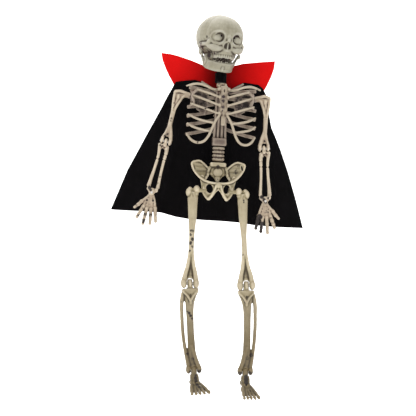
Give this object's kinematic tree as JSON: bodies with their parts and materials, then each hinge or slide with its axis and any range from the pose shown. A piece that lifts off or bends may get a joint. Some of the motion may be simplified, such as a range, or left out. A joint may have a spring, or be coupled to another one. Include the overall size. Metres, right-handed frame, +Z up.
{
  "type": "hanging skeleton figure",
  "caption": "Hanging skeleton decoration with jointed plastic bones, an opening jaw, a black felt cape and a red stand-up collar.",
  "frame": {"origin": "mouth of the hanging hole in the crown of the skull", "axes": "+Z up along the spine, the figure faces -Y, +X is the figure's left hand side (the right side seen from the front)"},
  "size_m": [0.21, 0.0582, 0.4066],
  "materials": {
    "bone_plastic": "moulded off-white plastic with a brown antique wash",
    "leg_bone_plastic": "moulded yellowish plastic with a brown antique wash",
    "skull_plastic": "moulded grey-beige plastic with a brown antique wash",
    "dark_plastic": "dark moulded plastic",
    "pin_steel": "plain steel pin",
    "black_felt": "pressed felt",
    "red_felt": "pressed felt"
  },
  "bodies": {
    "torso": {"ribcage_front": "bone_plastic", "ribcage_back": "bone_plastic", "neck_socket": "bone_plastic", "cape_panel": "black_felt", "cape_collar": "red_felt", "cape_neckband": "black_felt"},
    "neck": {"neck_post": "dark_plastic", "neck_pin": "pin_steel"},
    "skull": {"skull_back": "skull_plastic", "skull_face": "skull_plastic", "jaw_pin_left": "skull_plastic", "jaw_pin_right": "skull_plastic"},
    "jaw": {"jaw": "skull_plastic"},
    "pelvis": {"lumbar_spine": "leg_bone_plastic", "pelvis": "leg_bone_plastic"},
    "upper_arm_left": {"humerus_left": "bone_plastic", "shoulder_pin_left": "bone_plastic", "elbow_pin_left": "pin_steel"},
    "forearm_left": {"forearm_left": "bone_plastic", "wrist_pin_left": "pin_steel"},
    "hand_left": {"hand_left": "bone_plastic"},
    "thigh_left": {"femur_left": "leg_bone_plastic", "hip_pin_left": "leg_bone_plastic", "knee_pin_left": "pin_steel"},
    "shin_left": {"shin_left": "leg_bone_plastic", "ankle_pin_left": "pin_steel"},
    "foot_left": {"foot_left": "leg_bone_plastic"},
    "upper_arm_right": {"humerus_right": "bone_plastic", "shoulder_pin_right": "bone_plastic", "elbow_pin_right": "pin_steel"},
    "forearm_right": {"forearm_right": "bone_plastic", "wrist_pin_right": "pin_steel"},
    "hand_right": {"hand_right": "bone_plastic"},
    "thigh_right": {"femur_right": "leg_bone_plastic", "hip_pin_right": "leg_bone_plastic", "knee_pin_right": "pin_steel"},
    "shin_right": {"shin_right": "leg_bone_plastic", "ankle_pin_right": "pin_steel"},
    "foot_right": {"foot_right": "leg_bone_plastic"}
  },
  "joints": [
    {"name": "head_turn", "type": "hinge", "parent": "torso", "child": "neck", "pos_m": [-0.0025, 0.005, -0.0715], "axis": [0, 0, 1], "range_deg": [-58, 32]},
    {"name": "head_nod", "type": "hinge", "parent": "neck", "child": "skull", "pos_m": [-0.0025, 0.005, -0.0545], "axis": [0.9744, 0.225, 0], "range_deg": [-10, 14]},
    {"name": "jaw_open", "type": "hinge", "parent": "skull", "child": "jaw", "pos_m": [-0.00529, 0.00403, -0.04049], "axis": [0.973, 0.225, -0.051], "range_deg": [-8, 14]},
    {"name": "waist_turn", "type": "hinge", "parent": "torso", "child": "pelvis", "pos_m": [0, 0.014, -0.138], "axis": [0, 0, 1], "range_deg": [-20, 20]},
    {"name": "shoulder_swing_left", "type": "hinge", "parent": "torso", "child": "upper_arm_left", "pos_m": [-0.0445, 0.004, -0.087], "axis": [-1, 0, 0], "range_deg": [0, 140]},
    {"name": "elbow_bend_left", "type": "hinge", "parent": "upper_arm_left", "child": "forearm_left", "pos_m": [-0.05765, 0.004, -0.13679], "axis": [-0.9668, 0, 0.2554], "range_deg": [0, 100]},
    {"name": "wrist_sway_left", "type": "hinge", "parent": "forearm_left", "child": "hand_left", "pos_m": [-0.06987, 0.004, -0.19144], "axis": [0, 1, 0], "range_deg": [-20, 20]},
    {"name": "hip_swing_left", "type": "hinge", "parent": "pelvis", "child": "thigh_left", "pos_m": [-0.0258, 0, -0.1865], "axis": [-1, 0, 0], "range_deg": [-5, 90]},
    {"name": "knee_bend_left", "type": "hinge", "parent": "thigh_left", "child": "shin_left", "pos_m": [-0.02442, 0, -0.28549], "axis": [0.9999, 0, 0.014], "range_deg": [0, 100]},
    {"name": "ankle_bend_left", "type": "hinge", "parent": "shin_left", "child": "foot_left", "pos_m": [-0.01544, 0, -0.37705], "axis": [0.9952, 0, 0.0976], "range_deg": [-25, 25]},
    {"name": "shoulder_swing_right", "type": "hinge", "parent": "torso", "child": "upper_arm_right", "pos_m": [0.0445, 0.004, -0.087], "axis": [-1, 0, 0], "range_deg": [0, 140]},
    {"name": "elbow_bend_right", "type": "hinge", "parent": "upper_arm_right", "child": "forearm_right", "pos_m": [0.04755, 0.004, -0.13841], "axis": [-0.9982, 0, -0.0593], "range_deg": [0, 100]},
    {"name": "wrist_sway_right", "type": "hinge", "parent": "forearm_right", "child": "hand_right", "pos_m": [0.05185, 0.004, -0.19424], "axis": [0, 1, 0], "range_deg": [-20, 20]},
    {"name": "hip_swing_right", "type": "hinge", "parent": "pelvis", "child": "thigh_right", "pos_m": [0.0258, 0, -0.1865], "axis": [-1, 0, 0], "range_deg": [-5, 90]},
    {"name": "knee_bend_right", "type": "hinge", "parent": "thigh_right", "child": "shin_right", "pos_m": [0.03563, 0, -0.28501], "axis": [0.9951, 0, 0.0993], "range_deg": [0, 100]},
    {"name": "ankle_bend_right", "type": "hinge", "parent": "shin_right", "child": "foot_right", "pos_m": [0.03948, 0, -0.37693], "axis": [0.9991, 0, 0.0419], "range_deg": [-25, 25]}
  ]
}
